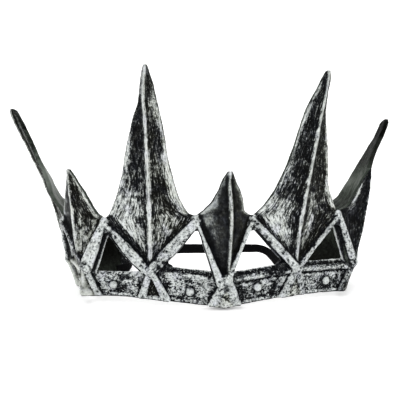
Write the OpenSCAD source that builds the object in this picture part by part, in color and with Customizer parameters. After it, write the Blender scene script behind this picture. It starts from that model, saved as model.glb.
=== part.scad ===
// Costume crown: one flexible moulding of seven ridged points on a studded
// band, open at the back, where a flat elastic strap closes it.
// Millimetres, +Z up. The crown rests on the foot of its middle boss and on
// the two ends of its band. The origin is on that surface, at the middle of
// the outline seen from above, with the front of the crown towards -Y.

/* [Plan] */
// Length of one bay, from a boss to the next
bay = 39; // [35:0.5:43]
// Heading of the first bay, away from straight across the front
head_1 = 2; // [0:1:8]
// Heading of the second bay
head_2 = 18; // [12:1:26]
// Heading of the third bay
head_3 = 74; // [68:1:78]
// Heading of the fourth bay, at the back
head_4 = 140; // [130:1:146]

/* [Band] */
// Height of the band, from its foot to the sill of the windows
band_h = 17; // [15:0.5:19]
// How far the band leans out from its foot to the middle of a boss
band_lean = 5.4; // [3:0.2:7]
// Thickness of the band's wall
wall = 3.6; // [3:0.2:4.6]
// Depth of the sunk panel
panel_d = 0.9; // [0.5:0.1:1.3]
// Drop of the middle boss below the others
drop_0 = 5.4; // [3:0.2:7]
// Rise of the last bosses at the sides
rise_3 = 3.4; // [3.2:0.1:4.5]
// Rise of the ends of the band
rise_4 = 7.5; // [6.5:0.1:7.8]

/* [Points] */
// Height of a front tall point above the foot of its boss
tall_h = 113.5; // [100:0.5:120]
// How far a front tall point leans out at its tip
tall_out = 31.5; // [26:0.5:38]
// Height of a back tall point above the foot of its boss
back_h = 107; // [98:0.5:114]
// How far a back tall point leans out at its tip
back_out = 35.5; // [30:0.5:40]
// Height of a short point above the foot of its boss
short_h = 70.4; // [64:0.2:76]
// How far a short point leans out at its tip
short_out = 11.6; // [8:0.2:15]
// Height of the valleys between the points
valley_h = 44.2; // [41:0.2:47]
// How far the valleys lean out
valley_out = 7.4; // [5:0.2:10]
// Share of a bay that belongs to a short point
share = 0.39; // [0.35:0.01:0.44]
// Thickness of a point at its edges
edge_t = 2.4; // [2:0.1:3]

/* [Struts] */
// Width of the struts between bosses and valleys
strut_w = 6.2; // [5:0.2:7]
// How far a strut stands proud
strut_d = 2.1; // [1.4:0.1:2.8]
// Height of the crossing in the middle of a boss
cross_h = 16; // [14.5:0.5:17]
// Width of the lip behind the edges of a window
lip_w = 1.5; // [0.8:0.1:2]
// Diameter of the rivet heads
rivet_d = 4.6; // [3.6:0.2:5.4]
// How far a rivet head stands proud
rivet_h = 1.7; // [1.2:0.1:2.2]

/* [Strap] */
// Width of the elastic strap
strap_w = 5.6; // [5:0.2:8]
// Thickness of the elastic strap
strap_t = 1.2; // [0.8:0.1:1.6]

/* [Hidden] */
silver = [0.55, 0.56, 0.54];
black = [0.06, 0.06, 0.065];

// Columns: heading of the bay that follows, rise of the foot, height of the
// point above the foot, how far it leans out, the way that it faces.
// One row for each boss, from the middle one to an end, which has no point.
stations = [
  [head_1, -drop_0, short_h,   short_out, 0],
  [head_2, 0,       tall_h,    tall_out,  (head_1 + head_2) / 2],
  [head_3, 0,       short_h,   short_out, (head_2 + head_3) / 2],
  [head_4, rise_3,  back_h,    back_out,  (head_3 + head_4) / 2 - 8.5],
  [head_4, rise_4,  0,         0,         head_4]];

function heading(i) = stations[min(i, 3)][0];
function rise_i(i) = stations[i][1];
function plan_i(i) = i == 0 ? [0, 0] :
  plan_i(i - 1) + bay * [cos(heading(i - 1)), sin(heading(i - 1))];

// Everything below takes k, the place along the band: 0 at the middle boss,
// whole numbers at the bosses, positive to the right, negative to the left.
function lo(k) = min(floor(abs(k) + 0.0001), 4);
function fr(k) = max(abs(k) - lo(k), 0);
function side(k) = k < 0 ? -1 : 1;
function azimuth(k) = let(i = lo(k), f = fr(k))
  f > 0.001 ? heading(i) : i == 0 ? 0 : i == 4 ? heading(3) :
  (heading(i - 1) + heading(i)) / 2;
// Mitre that keeps the wall's thickness where two bays meet
function mitre(k) = let(i = lo(k), f = fr(k))
  f > 0.001 || i == 4 ? 1 : i == 0 ? 1 / cos(heading(0)) :
  1 / cos((heading(i) - heading(i - 1)) / 2);
function rise(k) = let(i = lo(k), f = fr(k))
  f > 0.001 ? rise_i(i) * (1 - f) + rise_i(i + 1) * f : rise_i(i);
function plan(k) = let(i = lo(k), f = fr(k), p = plan_i(i) +
  f * bay * [cos(heading(i)), sin(heading(i))]) p;
// A place given by k, t along the band, n outward and h above the foot
function place(k, t, n, h) = let(a = azimuth(k), p = plan(k))
  [side(k) * (p[0] + t * side(k) * cos(a) + n * sin(a)),
   p[1] + t * side(k) * sin(a) - n * cos(a), rise(k) + h];
function outward(k) = let(a = azimuth(k)) [side(k) * sin(a), -cos(a), 0];
function unit(v) = v / norm(v);
function flat(v) = [for (a = v) each a];

// ---- how the crown stands: on the middle boss and the ends of the band
foot_y0 = place(0, 0, -band_lean - wall, 0)[1];
foot_y4 = place(4, 0, -band_lean, 0)[1];
lean_back = atan((rise_4 + drop_0) / (foot_y4 - foot_y0));
lift = drop_0 * cos(lean_back) + foot_y0 * sin(lean_back) - 0.05;
strap_y = 89.4;
strap_z = 21.1;
back_y = (strap_y + strap_t / 2) * cos(lean_back) + (strap_z + strap_w / 2) * sin(lean_back);
front_y = (plan(1)[1] - tall_out * cos(azimuth(1))) * cos(lean_back) + tall_h * sin(lean_back);
shift_y = -(back_y + front_y) / 2;
module standing() translate([0, shift_y, lift]) rotate([-lean_back, 0, 0]) children();

// ---- sweeps
// Joins rings of points, all of the same count, into one closed solid.
// turn is set where the rings run the other way round.
module rings(r, turn = false) {
  q = turn ? [for (a = r) [for (j = [len(a) - 1:-1:0]) a[j]]] : r;
  m = len(q[0]); c = len(q);
  side_f = [for (i = [0:c - 2], j = [0:m - 1]) let(a = i * m + j,
    b = i * m + (j + 1) % m, d = a + m, e = b + m) each [[a, d, b], [b, d, e]]];
  polyhedron(points = flat(q), faces = concat(side_f,
    [[for (j = [0:m - 1]) j]], [[for (j = [m - 1:-1:0]) (c - 1) * m + j]]));
}

// Convex piece through a set of points
module convex(pts) hull() polyhedron(points = pts, faces = [[for (i = [0:len(pts) - 1]) i]]);

// Straight bar of section s, [across, outward], from p to q, facing out
module bar(p, q, out, s) {
  d = unit(q - p);
  v = unit(out - (out * d) * d);
  u = cross(v, d);
  convex([for (e = [p, q], a = s) e + a[0] * u + a[1] * v]);
}
function crown_section(w, d, b) = [[w / 2, -b], [w / 2, d * 0.3], [w * 0.24, d],
  [-w * 0.24, d], [-w / 2, d * 0.3], [-w / 2, -b]];

// ---- the band
function lean(h) = band_lean * (h / cross_h - 1);
// Columns: height above the foot, how far out from the leaning face
band_outer = [[-0.8, -1.2], [0, -0.5], [0.7, 0.3], [1.9, 0.3], [2.5, -panel_d], [12, -panel_d],
  [12.4, -panel_d - 0.9], [13.2, -panel_d - 0.9], [13.6, 0.2], [14.4, 0.8],
  [band_h - 0.8, 0.8], [band_h, 0.1], [band_h, -wall + 1.5], [band_h + 2.1, -wall + 1.4]];
band_inner = [[band_h + 2.1, -wall], [band_h / 2, -wall + 0.3], [1, -wall], [-0.8, -wall + 0.5]];
band_profile = concat(band_outer, band_inner);
module band() rings([for (k = [-4:4]) [for (a = band_profile)
  place(k, 0, (lean(a[0]) + a[1]) * mitre(k), a[0])]], true);

// ---- rivet heads, one in the middle of each bay
// Columns: share of the radius, share of the height
rivet_dome = [[1, -0.4], [1, 0.15], [0.84, 0.58], [0.5, 0.88], [0.18, 1]];
module rivets() for (k = [-3.5:1:3.5]) {
  n = outward(k); u = [-n[1], n[0], 0]; c = place(k, 0, lean(7.6) - panel_d, 7.6);
  convex([for (q = rivet_dome, j = [0:11])
    c + q[0] * rivet_d / 2 * (cos(j * 30) * u + [0, 0, sin(j * 30)]) + q[1] * rivet_h * n]);
}

// ---- valleys and crossings
function valley_k(i) = i % 2 == 0 ? i + share : i + 1 - share;
function valley(k) = let(i = lo(k), v = valley_k(i), h = valley_h - rise(v))
  place(side(k) * v, 0, valley_out, h);
function crossing(k) = place(k, lo(k) == 4 ? -2.2 * side(k) : 0, lo(k) == 0 ? 2.2 : 0.6, cross_h);

// ---- struts: from each boss up to the valleys on both sides
module strut(k, v) {
  p = crossing(k); q = valley(v);
  d = unit(q - p);
  out = unit(outward(v) + [0, 0, -0.26]);
  drop = [0, 0, -strut_w * 0.5];
  bar(p - 1.2 * d, q + drop + 0.6 * d, out, crown_section(strut_w, strut_d, 1.9));
  bar(p - 0.5 * d, q + drop + 0.3 * d, out, [[strut_w / 2 + lip_w, -2.4],
    [strut_w / 2 + lip_w, -1.1], [-strut_w / 2 - lip_w, -1.1], [-strut_w / 2 - lip_w, -2.4]]);
}
// Columns of the knot where two struts meet: half width, height, depth, proud
knot_rows = [[1.5, 0.3, -2.3, 0.9], [3.3, -4.2, -2.7, 1.9], [1.4, -7.6, -2.3, 1.3]];
module knot(v) {
  c = valley(v); n = outward(v); u = [-n[1], n[0], 0];
  convex([for (a = knot_rows, t = [-a[0], a[0]], d = [a[2], a[3]]) c + t * u + d * n + [0, 0, a[1]]]);
}
module struts() for (s = [-1, 1], i = [0:3]) {
  strut(s * i, s * (i + 0.5));
  strut(s * (i + 1), s * (i + 0.5));
  knot(s * (i + 0.5));
}

// ---- bosses: two legs that spread from the crossing to the foot
// A place beside a boss, on the face of the band, t to the right of it
function beside(k, t, n, h) = place(k + t / bay, 0, n, h);
module leg(k, t) {
  p = crossing(k) + [0, 0, 0.6];
  q = beside(k, t, -band_lean + 0.2, abs(k) == 4 ? 2.6 : 0.2);
  bar(p, q, unit(outward(k + t / bay) + [0, 0, -0.3]), crown_section(4.6, 2, 3));
}
module boss(k) {
  n = outward(k);
  w = abs(k) < 2 ? 1 : 0.74; // narrower where the band folds sharply
  leg(k, -6.8 * w); leg(k, 6.8 * w);
  // sunk triangle between the legs
  convex([for (v = [0, 1]) each [place(k, 0, 0, cross_h - 1) - 3.2 * v * n,
    for (t = [-7, 0, 7]) beside(k, t * w, -band_lean + 0.6, -0.4) - 1.8 * v * n]]);
  // foot that closes the triangle
  convex([for (t = [-8.2, 0, 8.2], a = [[-0.7, -0.8], [-0.7, 3], [0.9, 2.8], [1.4, 1.2], [1, -0.8]])
    beside(k, t * w, -band_lean + a[0], a[1])]);
  // root of the crossing, behind its bars
  convex([for (a = [[-5.8, -2.6], [0, 0.5 - wall], [5.8, -2.6]], n = [a[1], -0.9], h = [13, 18.3])
    beside(k, a[0], lean(h) + n, h)]);
}
module bosses() {
  for (k = [-3:3]) boss(k);
  for (s = [-1, 1]) leg(s * 4, -2.4 * s);
}
// ---- the last bay on each side is closed behind its struts
// Columns: how far out at the foot and at the valley
web_depth = [[-1.5, 5.9], [-3.4, 4]];
module webs() for (s = [-1, 1]) convex([for (a = web_depth) each [
  place(s * 3.03, 0, a[0], 15.4), place(s * 3.94, 0, a[0], 15.4),
  place(s * valley_k(3), 0, a[1], valley_h - rise(valley_k(3)) - 2)]]);

// Everything under the foot of the band, and on past its ends.
// Columns: how far out, height above the foot
below_profile = [[-25, -20], [-25, 0], [-10, 0], [-5, 0], [20, 0], [20, -20]];
module below() for (m = [0, 1]) mirror([m, 0, 0])
  rings([for (a = [[0, -2], [0, 0], [1, 0], [2, 0], [3, 0], [4, 0.4], [4, 15]]) [for (b = below_profile)
    place(a[0], a[1], b[0], b[1] + (a[0] < 4 ? 0 : a[1] * (rise_4 - rise_3) / bay))]]);

// ---- points
// Columns: share of the way from the valley to the tip, share of the width
tall_outline = [[0, 1], [0.035, 0.85], [0.09, 0.75], [0.2, 0.63], [0.35, 0.51],
  [0.52, 0.395], [0.7, 0.26], [0.87, 0.135], [0.97, 0.07], [1, 0.045]];
short_outline = [[0, 1], [0.07, 0.82], [0.18, 0.66], [0.4, 0.5], [0.64, 0.35],
  [0.82, 0.21], [0.95, 0.1], [1, 0.06]];
// Columns: share of the way from the crossing to the tip, share of the lean out
tall_ridge = [[0, 0.02], [0.12, 0.13], [0.29, 0.3], [0.5, 0.5], [0.75, 0.74], [1, 1]];
short_ridge = [[0, 0.05], [0.25, 0.28], [0.5, 0.52], [1, 1]];
middle_ridge = [[0, 0.2], [0.3, 0.72], [0.6, 0.98], [0.8, 1.02], [1, 1]];

module point(k) {
  i = lo(k); s = side(k); tall = i % 2 == 1;
  outline = tall ? tall_outline : short_outline;
  ridge = tall ? tall_ridge : i == 0 ? middle_ridge : short_ridge;
  top = stations[i][2];
  out = stations[i][3];
  a = stations[i][4];
  u = [s * cos(a), sin(a), 0]; // along the band, away from the middle
  n = [s * sin(a), -cos(a), 0];
  o = place(k, 0, 0, 0);
  // the two valleys beside it, seen from the foot of the boss
  vb = (i == 0 ? valley(-0.5) : valley(s * (i - 0.5))) - o;
  vf = valley(s * (i + 0.5)) - o;
  hv = vf[2];
  base = cross_h - 2;
  reach = function(h) out * lookup((max(h, cross_h) - cross_h) / (top - cross_h), ridge);
  rows = concat([for (f = [0, 0.4, 0.75]) base + f * (hv - base)], [for (q = outline) hv + q[0] * (top - hv)]);
  rings([for (h = rows) let(
    low = h < hv,
    g = low ? (h - base) / (hv - base) : lookup((h - hv) / (top - hv), outline),
    f = low ? 0.06 + 0.94 * g : g,
    r = reach(h), rv = reach(hv),
    // edges lie on the line to the valley below it, and keep its fold above it
    b = [vb * u * f, low ? g * (vb * n) : r - g * (rv - vb * n)],
    e = [vf * u * f, low ? g * (vf * n) : r - g * (rv - vf * n)],
    m = [0.6 * (1 - (h - base) / (top - base)), r],
    t = edge_t * (low ? 1.3 : 1.3 - 0.3 * (h - hv) / (top - hv)),
    back = [0, (b[1] + e[1]) / 2 * 0.45 + r * 0.55 - t - 0.3])
    [for (q = [e, m, b, b - [0, t], back, e - [0, t]]) o + q[0] * u + q[1] * n + [0, 0, h]]], s > 0);
}
module points() for (k = [-3:3]) point(k);

module crown_moulding() color(silver) standing() difference() {
  union() { band(); rivets(); struts(); webs(); bosses(); points(); }
  below();
}

// ---- strap: fixed inside the ends of the band, then up and across the back
function fixed_end(k) = place(k, 0, lean(4.3) - wall - strap_t / 2 - 1.7, 4.3);
// Columns: x, y, z of the middle of the strap, for its right half
strap_route = [fixed_end(3.72), fixed_end(3.96), [49.6, 70.9, 11.9], [49.4, 78, 15.1],
  [49.2, 84.6, 19.2], [47.4, 88, 20.7], [44, 89.3, 21.1], [38, strap_y, strap_z], [0, strap_y, strap_z]];
strap_line = concat(strap_route, [for (i = [len(strap_route) - 2:-1:0]) let(p = strap_route[i]) [-p[0], p[1], p[2]]]);
module elastic_strap() color(black) standing() {
  c = len(strap_line);
  rings([for (i = [0:c - 1]) let(p = strap_line[i],
    d = unit(strap_line[min(i + 1, c - 1)] - strap_line[max(i - 1, 0)]),
    v = unit(cross([0, 0, 1], d)), u = cross(d, v))
    [for (a = [[1, 1], [1, -1], [-1, -1], [-1, 1]]) p + a[0] * strap_w / 2 * u + a[1] * strap_t / 2 * v]]);
}

crown_moulding();
elastic_strap();
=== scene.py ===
"""Costume crown: the brushed silver moulding and its elastic strap, on a pale
floor. Shapes are built in millimetres in the frame of the band (x to the
right, y to the back, z up from the foot of the first bosses), then stood up
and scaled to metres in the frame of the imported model."""

import math

import bpy
import numpy as np
from mathutils import Matrix, Vector
from mathutils.bvhtree import BVHTree


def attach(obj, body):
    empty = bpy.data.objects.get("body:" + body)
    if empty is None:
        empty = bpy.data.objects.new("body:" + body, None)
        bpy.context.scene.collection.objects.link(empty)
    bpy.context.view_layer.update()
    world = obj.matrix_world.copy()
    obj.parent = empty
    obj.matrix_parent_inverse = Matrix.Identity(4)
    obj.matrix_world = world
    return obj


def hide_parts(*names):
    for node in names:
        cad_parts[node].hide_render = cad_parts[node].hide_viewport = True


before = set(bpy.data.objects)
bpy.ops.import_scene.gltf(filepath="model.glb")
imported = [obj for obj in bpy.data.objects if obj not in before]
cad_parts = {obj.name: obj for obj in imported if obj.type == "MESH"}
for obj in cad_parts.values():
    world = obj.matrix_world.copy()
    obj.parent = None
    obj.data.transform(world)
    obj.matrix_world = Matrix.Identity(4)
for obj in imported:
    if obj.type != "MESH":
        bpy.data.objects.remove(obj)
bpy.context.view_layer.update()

# ---------------------------------------------------------------- measures
BAY = 39.0
HEAD = (2.0, 18.0, 74.0, 140.0)
BAND_H, LEAN, WALL, PANEL = 17.0, 5.4, 3.6, 0.9
RISE = (-5.4, 0.0, 0.0, 3.4, 7.5)
SHORT_H, TALL_H, BACK_H = 70.4, 113.5, 107.0
VALLEY_H, VALLEY_OUT, SHARE, CROSS_H = 44.2, 7.4, 0.39, 16.0
EDGE_T = 2.4
FACING = (0.0, 10.0, 46.0, 98.5)
SINK = 0.05


def cosd(a):
    return math.cos(math.radians(a))


def sind(a):
    return math.sin(math.radians(a))


def unit(v):
    v = np.asarray(v, float)
    return v / np.linalg.norm(v)


def low_k(k):
    return min(int(math.floor(abs(k) + 1e-4)), 4)


def part_k(k):
    return max(abs(k) - low_k(k), 0.0)


def side(k):
    return -1 if k < 0 else 1


def corner(i):
    x = y = 0.0
    for j in range(i):
        x += BAY * cosd(HEAD[j])
        y += BAY * sind(HEAD[j])
    return x, y


def azimuth(k):
    i, f = low_k(k), part_k(k)
    if f > 0.001:
        return HEAD[i]
    return 0.0 if i == 0 else HEAD[3] if i == 4 else (HEAD[i - 1] + HEAD[i]) / 2


def mitre(k):
    i, f = low_k(k), part_k(k)
    if f > 0.001 or i == 4:
        return 1.0
    return 1 / cosd(HEAD[0]) if i == 0 else 1 / cosd((HEAD[i] - HEAD[i - 1]) / 2)


def rise(k):
    i, f = low_k(k), part_k(k)
    return RISE[i] * (1 - f) + RISE[i + 1] * f if f > 0.001 else RISE[i]


def place(k, t, n, h):
    """A place by bay k, t along the band, n outward and h above the foot."""
    s, a, i, f = side(k), azimuth(k), low_k(k), part_k(k)
    x, y = corner(i)
    if f > 0:
        x += f * BAY * cosd(HEAD[i])
        y += f * BAY * sind(HEAD[i])
    n = np.asarray(n, float)
    px = s * (x + t * s * cosd(a) + n * sind(a))
    py = y + t * s * sind(a) - n * cosd(a)
    pz = rise(k) + np.asarray(h, float)
    return np.stack(np.broadcast_arrays(px, py, pz), -1)


def beside(k, t, n, h):
    return place(k + t / BAY, 0, n, h)


def outward(k):
    a = azimuth(k)
    return np.array([side(k) * sind(a), -cosd(a), 0.0])


def lean(h):
    return LEAN * (np.asarray(h, float) / CROSS_H - 1)


FOOT_Y0 = place(0, 0, -LEAN - WALL, 0)[1]
FOOT_Y4 = place(4, 0, -LEAN, 0)[1]
TILT = math.degrees(math.atan((RISE[4] - RISE[0]) / (FOOT_Y4 - FOOT_Y0)))
LIFT = -RISE[0] * cosd(TILT) + FOOT_Y0 * sind(TILT) - SINK
STRAP_W, STRAP_T, STRAP_Y, STRAP_Z = 5.6, 1.2, 89.4, 21.1
BACK_Y = (STRAP_Y + STRAP_T / 2) * cosd(TILT) + (STRAP_Z + STRAP_W / 2) * sind(TILT)
FRONT_Y = (place(1, 0, 31.5, 0)[1]) * cosd(TILT) + TALL_H * sind(TILT)
SHIFT_Y = -(BACK_Y + FRONT_Y) / 2


def stand(p):
    """From the frame of the band to the crown as it stands, in metres."""
    c, s = cosd(TILT), sind(TILT)
    return np.stack([p[..., 0], p[..., 1] * c + p[..., 2] * s + SHIFT_Y,
                     -p[..., 1] * s + p[..., 2] * c + LIFT], -1) * 0.001


# Small moves of the crossings and valleys: along the band, upward
CROSS_MOVE = {-2: (4.8, 1.3), -1: (-0.3, -0.3), 0: (0.6, 0.0), 1: (0.1, -0.4), 2: (1.2, 0.8)}
VALLEY_MOVE = {-1.5: (0.6, -1.3), -0.5: (-1.0, -0.5), 0.5: (-2.1, -0.3), 1.5: (-0.4, 1.9)}


def crossing(k):
    i = low_k(k)
    dt, dh = CROSS_MOVE.get(k, (0.0, 0.0))
    return place(k, (-2.2 * side(k) if i == 4 else 0) + dt, 2.2 if i == 0 else 0.6, CROSS_H + dh)


def valley(k):
    i = low_k(k)
    v = i + SHARE if i % 2 == 0 else i + 1 - SHARE
    dt, dh = VALLEY_MOVE.get(k, (0.0, 0.0))
    return place(side(k) * v, dt, VALLEY_OUT, VALLEY_H - rise(v) + dh)


# ------------------------------------------------------------------- noise
def lattice(ix, iy, iz, seed):
    h = (ix * 374761393 + iy * 668265263 + iz * 2147483647 + seed * 1274126177) & 0xFFFFFFFF
    h = ((h ^ (h >> 13)) * 1274126177) & 0xFFFFFFFF
    return ((h ^ (h >> 16)) & 0xFFFF) / 32767.5 - 1


def noise(p, size, seed=0):
    """Smooth value noise in -1..1, with cells of this size."""
    q = np.asarray(p, float) / size + 913.7
    i = np.floor(q).astype(np.int64)
    f = q - i
    f = f * f * f * (f * (f * 6 - 15) + 10)
    out = 0.0
    for dx in (0, 1):
        for dy in (0, 1):
            for dz in (0, 1):
                w = ((f[..., 0] if dx else 1 - f[..., 0]) * (f[..., 1] if dy else 1 - f[..., 1])
                     * (f[..., 2] if dz else 1 - f[..., 2]))
                out = out + w * lattice(i[..., 0] + dx, i[..., 1] + dy, i[..., 2] + dz, seed)
    return out


def fractal(p, size, octaves=3, seed=0):
    total = sum(noise(p, size / 2 ** o, seed + o * 7) / 2 ** o for o in range(octaves))
    return total / sum(1 / 2 ** o for o in range(octaves))


def smooth(x, lo, hi):
    t = np.clip((np.asarray(x, float) - lo) / (hi - lo), 0, 1)
    return t * t * (3 - 2 * t)


def table(rows, x):
    """Smoothed look-up: the columns of rows against the first one."""
    rows = np.asarray(rows, float)
    out = []
    for c in range(1, rows.shape[1]):
        span = rows[-1, 0] - rows[0, 0]
        d = span * 0.012
        out.append(sum(np.interp(np.asarray(x) + o * d, rows[:, 0], rows[:, c]) for o in (-2, -1, 0, 1, 2)) / 5)
    return out


# --------------------------------------------------------------- the source
# Overlapping closed skins, with what each face is and where on it a point
# lies. They are fused into one skin afterwards.
LEAF, BACK, STRUT, LIP, LEG, PLATE, FOOT, BANDF, BANDB, RIVET, KNOT, ROOT, WEB = range(13)


class Source:
    def __init__(self):
        self.v, self.f, self.a, self.e, self.n = [], [], [], [], 0

    def rings(self, pts, att, kind, owner):
        """pts: rings x points x 3; att: rings x points x 3; kind: by point."""
        r, m = pts.shape[:2]
        kind = np.broadcast_to(kind, (m,))
        idx = np.arange(r * m).reshape(r, m) + self.n
        nxt = np.roll(idx, -1, axis=1)
        quads = [(idx[:-1], idx[1:], nxt[:-1]), (nxt[:-1], idx[1:], nxt[1:])]
        for a, b, c in quads:
            self.f.append(np.stack([a, b, c], -1).reshape(-1, 3))
            self.e.append(np.stack([np.broadcast_to(kind, a.shape), np.full(a.shape, owner)], -1).reshape(-1, 2))
        ends = []
        for j, ring in ((0, idx[0]), (r - 1, idx[-1])):
            c = self.n + r * m + len(ends)
            ends.append(j)
            self.f.append(np.stack([ring, np.roll(ring, -1), np.full(m, c)], -1))
            self.e.append(np.stack([kind, np.full(m, owner)], -1))
        mids = pts[[0, -1]].mean(axis=1)
        self.v.append(np.concatenate([pts.reshape(-1, 3), mids]))
        self.a.append(np.concatenate([att.reshape(-1, 3), att[[0, -1]].mean(axis=1)]))
        self.n += r * m + 2


src = Source()


def foot_level(p):
    """Height of the foot of the band below a point, seen in plan."""
    best = np.full(p.shape[:-1], 1e9)
    z = np.zeros(p.shape[:-1])
    for s in (-1, 1):
        for i in range(4):
            a = np.array(corner(i))
            b = np.array(corner(i + 1))
            d = b - a
            q = np.stack([p[..., 0] * s, p[..., 1]], -1) - a
            f = np.clip(q @ d / (d @ d), 0, 1.25 if i == 3 else 1)
            e = np.linalg.norm(q - f[..., None] * d, axis=-1)
            near = e < best
            z = np.where(near, RISE[i] + (RISE[i + 1] - RISE[i]) * f, z)
            best = np.where(near, e, best)
    return z


def keep_up(p):
    """Nothing hangs below the foot of the band."""
    p = p.copy()
    p[..., 2] = np.maximum(p[..., 2], foot_level(p))
    return p


# ---------------------------------------------------------------- the points
# Columns: height above the foot, edge nearer the middle, far edge, rib (all
# across the point, away from the middle), how far the rib leans out.
POINTS = {
    -1: [[14, 0, 0, 0.4, 0.3], [20, 0, 0, 0.3, 1.6], [30, 0, 0, 0.0, 4.9], [44.2, -24.6, 24.6, -0.3, 9.2],
         [46, -20.3, 21.6, -0.4, 9.7], [49, -17.7, 19.2, -0.5, 10.6], [53, -15.3, 17.0, -0.6, 11.8],
         [60, -13.3, 14.3, -0.7, 14.0], [70, -11.0, 11.7, -0.7, 17.3], [80, -9.9, 9.3, -0.6, 20.5],
         [90, -8.4, 6.0, -0.45, 23.7], [98, -6.7, 2.8, -0.1, 26.4], [105, -5.4, 1.4, -0.7, 28.7],
         [109.5, -4.1, 0.6, -1.4, 30.2], [112.4, -3.3, -0.3, -1.9, 31.1], [114.1, -2.7, -1.0, -1.9, 31.6]],
    1: [[14, 0, 0, -0.2, 0.3], [20, 0, 0, -0.4, 1.6], [26, 0, 0, -0.7, 3.5], [34, 0, 0, -1.3, 6.2],
        [44.2, -25.2, 24.6, -0.9, 9.2], [48, -21.8, 21.9, -0.6, 10.3], [52, -19.2, 19.2, -0.3, 11.5],
        [57, -16.3, 16.1, -0.1, 13.1], [62, -14.4, 13.9, 0.2, 14.7], [70, -11.7, 11.9, 0.7, 17.3],
        [80, -9.5, 9.5, 1.2, 20.5], [90, -7.7, 6.9, 1.6, 23.7], [96, -6.2, 5.0, 2.0, 25.7],
        [101, -4.4, 4.5, 2.3, 27.4], [106, -2.1, 4.5, 2.6, 29.0], [109.6, -0.8, 4.7, 2.7, 30.3],
        [112.6, 0.5, 4.4, 2.5, 31.3], [114.4, 1.2, 3.6, 2.4, 31.8]],
    0: [[14, 0, 0, 0.9, 2.3], [20, 0, 0, 1.0, 4.2], [30, 0, 0, 1.0, 8.0], [40, 0, 0, 1.3, 10.2],
        [49.6, -15.5, 15.5, 1.4, 11.2], [50.8, -14.2, 12.4, 1.3, 11.3], [52.3, -12.3, 10.0, 1.2, 11.4],
        [54.3, -10.4, 8.9, 1.0, 11.5], [56.3, -8.6, 8.2, 0.9, 11.5], [59.3, -7.0, 7.4, 0.8, 11.5],
        [62.3, -5.3, 6.3, 0.6, 11.4], [65.4, -4.1, 4.8, 0.4, 11.4], [68.4, -2.7, 3.7, 0.6, 11.4],
        [70.4, -1.3, 2.9, 1.0, 11.4], [72.0, -0.2, 2.2, 1.1, 11.4]],
    -2: [[14, 0, 0, -0.4, 0.6], [22, 0, 0, -0.4, 1.8], [32, 0, 0, 0.1, 3.7], [44.2, -17.2, 17.6, -0.7, 6.3],
         [46.3, -13.0, 15.4, -0.9, 6.7], [49.4, -11.2, 12.4, -1.1, 7.3], [53.0, -10.1, 9.3, -1.4, 8.1],
         [56.8, -8.9, 6.8, -1.7, 9.0], [60.7, -7.3, 3.8, -2.2, 9.8], [63.6, -6.2, 1.5, -2.7, 10.5],
         [66.0, -5.3, -0.2, -2.9, 11.0], [67.5, -4.6, -1.2, -2.9, 11.3], [68.8, -3.8, -1.8, -2.8, 11.5]],
    2: [[14, 0, 0, 0, 1.6], [24, 0, 0, 0, 3.6], [30, 0, 0, 0, 5.2], [35.4, 0, 0, 0, 6.8],
        [44.2, -16.6, 17.2, 0, 8.6], [46.4, -13.6, 14.4, 0, 9.0], [49, -10.6, 12.0, 0, 9.7],
        [53.5, -8.6, 9.4, 0, 10.6], [58, -6.6, 7.6, 0, 11.3], [63.7, -3.9, 4.9, 0, 12.0],
        [68.4, -1.4, 2.3, 0.3, 12.6], [70.4, -0.3, 1.4, 0.5, 12.9]],
    -3: [[14, 0, 0, 0, 0.3], [30, 0, 0, 0, 4.8], [40.8, -24.7, 22.7, 0, 8.0], [42.5, -21.3, 19.6, 0, 8.4],
         [46, -18.9, 16.6, 0, 9.4], [50, -17.2, 14.6, 0, 10.6], [55, -15.2, 12.8, 0, 12.6], [60, -13.8, 11.6, 0, 14.9],
         [66, -12.2, 10.6, 0, 17.3], [74, -9.9, 9.2, 0, 21.5], [82, -8.0, 7.4, 0, 25.5], [90, -6.6, 6.2, 0, 29.7], [96, -5.9, 5.6, 0, 32.9],
         [101, -5.1, 5.2, 0, 35.3], [104.2, -4.1, 4.9, 0, 36.6], [106.8, -2.4, 4.2, 0, 37.3], [108.3, -0.6, 3.0, 0, 37.6]],
    3: [[14, 0, 0, 0, 0.5], [30, 0, 0, 0, 5.2], [40.8, -24.7, 22.9, 0, 9.6], [42.5, -21.3, 22.0, 0, 10.2],
        [46, -18.9, 20.4, 0, 11.0], [50, -17.2, 18.6, 0, 12.2], [55, -15.2, 16.5, 0, 13.9], [60, -13.8, 14.4, 0, 15.8],
        [66, -12.2, 12.0, 0, 18.4], [74, -9.9, 9.4, 0, 21.8], [84, -7.6, 6.4, 0, 27.0], [94, -6.2, 4.4, 0, 33.0],
        [99, -5.9, 4.3, 0, 35.9], [102, -5.3, 4.5, 0, 37.4], [104.2, -4.0, 4.6, 0, 38.4], [106.0, -2.2, 4.3, 0, 39.1], [107.2, -0.2, 3.3, 0, 39.5]],
}
# How far the two rear tall points are twisted, against height
TWIST = {-3: [[41, 0], [50, -6], [60, -11.5], [72, -16], [80, -20], [90, -30], [98, -38], [108, -42]],
         3: [[41, 0], [50, -1], [60, -3], [70, -7], [80, -11], [107, -14]]}
# Half width of the rib and how far it stands up, against share of the height
RIB = {1: [[0, 0.7, 0.5], [0.2, 1.35, 0.9], [0.5, 1.35, 1.0], [0.9, 0.85, 0.9], [1, 0.6, 0.3]],
       0: [[0, 0.7, 0.5], [0.2, 0.95, 0.9], [0.6, 1.0, 0.9], [0.9, 0.8, 0.7], [1, 0.6, 0.2]]}
LEAF_DATA = {}


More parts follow.
